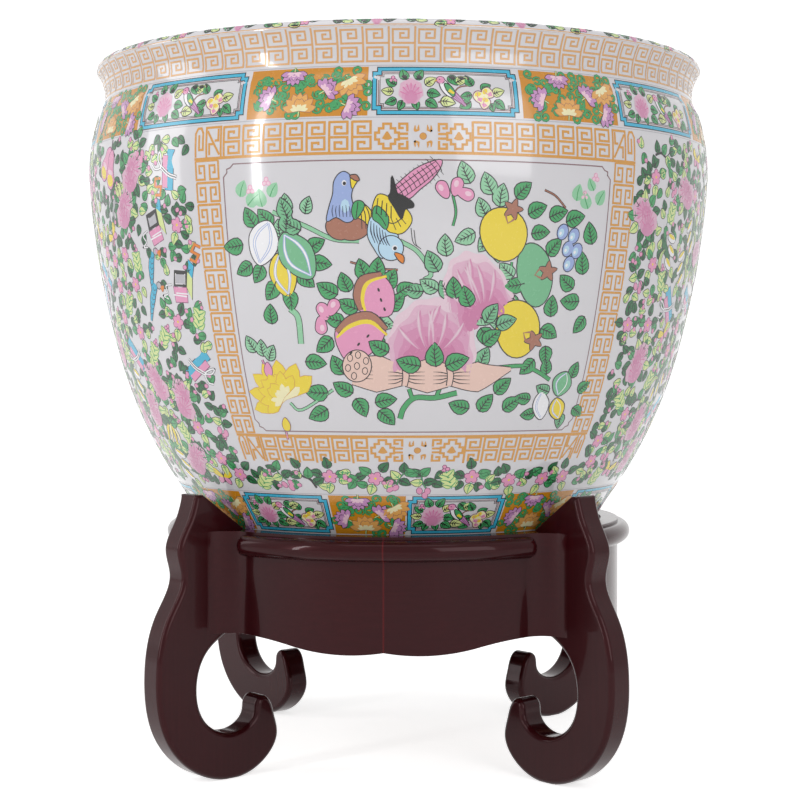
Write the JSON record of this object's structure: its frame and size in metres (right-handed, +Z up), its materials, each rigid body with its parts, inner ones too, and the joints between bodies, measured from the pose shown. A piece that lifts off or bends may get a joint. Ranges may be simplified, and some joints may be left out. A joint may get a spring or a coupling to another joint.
{
  "type": "jardiniere on stand",
  "caption": "Round glazed porcelain planter bowl with a flared rim, decorated in coloured enamels, standing in a red-brown lacquered wooden stand with scrolled legs.",
  "frame": {"origin": "on the floor under the centre of the stand", "axes": "+Z up, +X to the right of the painted front, the painted front and the seamed apron_front towards -Y, legs on the diagonals"},
  "size_m": [0.5079, 0.508, 0.5575],
  "materials": {
    "porcelain": "clear glossy glaze over white porcelain, with overglaze enamels",
    "lacquered_wood": "dark red-brown glossy lacquer on hardwood",
    "raw_wood": "planed hardwood, stained thinly",
    "dowel_wood": "turned beech, unfinished",
    "screw_steel": "zinc plated"
  },
  "bodies": {
    "stand": {"leg_front_right": "lacquered_wood", "dowels_front_right": "dowel_wood", "leg_back_right": "lacquered_wood", "dowels_back_right": "dowel_wood", "leg_back_left": "lacquered_wood", "dowels_back_left": "dowel_wood", "leg_front_left": "lacquered_wood", "dowels_front_left": "dowel_wood", "apron_front_left": "lacquered_wood", "apron_front_right": "lacquered_wood", "bead_front": "lacquered_wood", "seam_block_front": "raw_wood", "apron_right_left": "lacquered_wood", "apron_right_right": "lacquered_wood", "bead_right": "lacquered_wood", "seam_block_right": "raw_wood", "apron_back_left": "lacquered_wood", "apron_back_right": "lacquered_wood", "bead_back": "lacquered_wood", "seam_block_back": "raw_wood", "apron_left_left": "lacquered_wood", "apron_left_right": "lacquered_wood", "bead_left": "lacquered_wood", "seam_block_left": "raw_wood", "rail_lower": "raw_wood", "rail_upper": "raw_wood", "rail_screw": "screw_steel"},
    "bowl": {"bowl": "porcelain"}
  },
  "joints": [
    {"name": "bowl_lift", "type": "slide", "parent": "stand", "child": "bowl", "axis": [0, 0, 1], "range_m": [0, 0.3]}
  ]
}
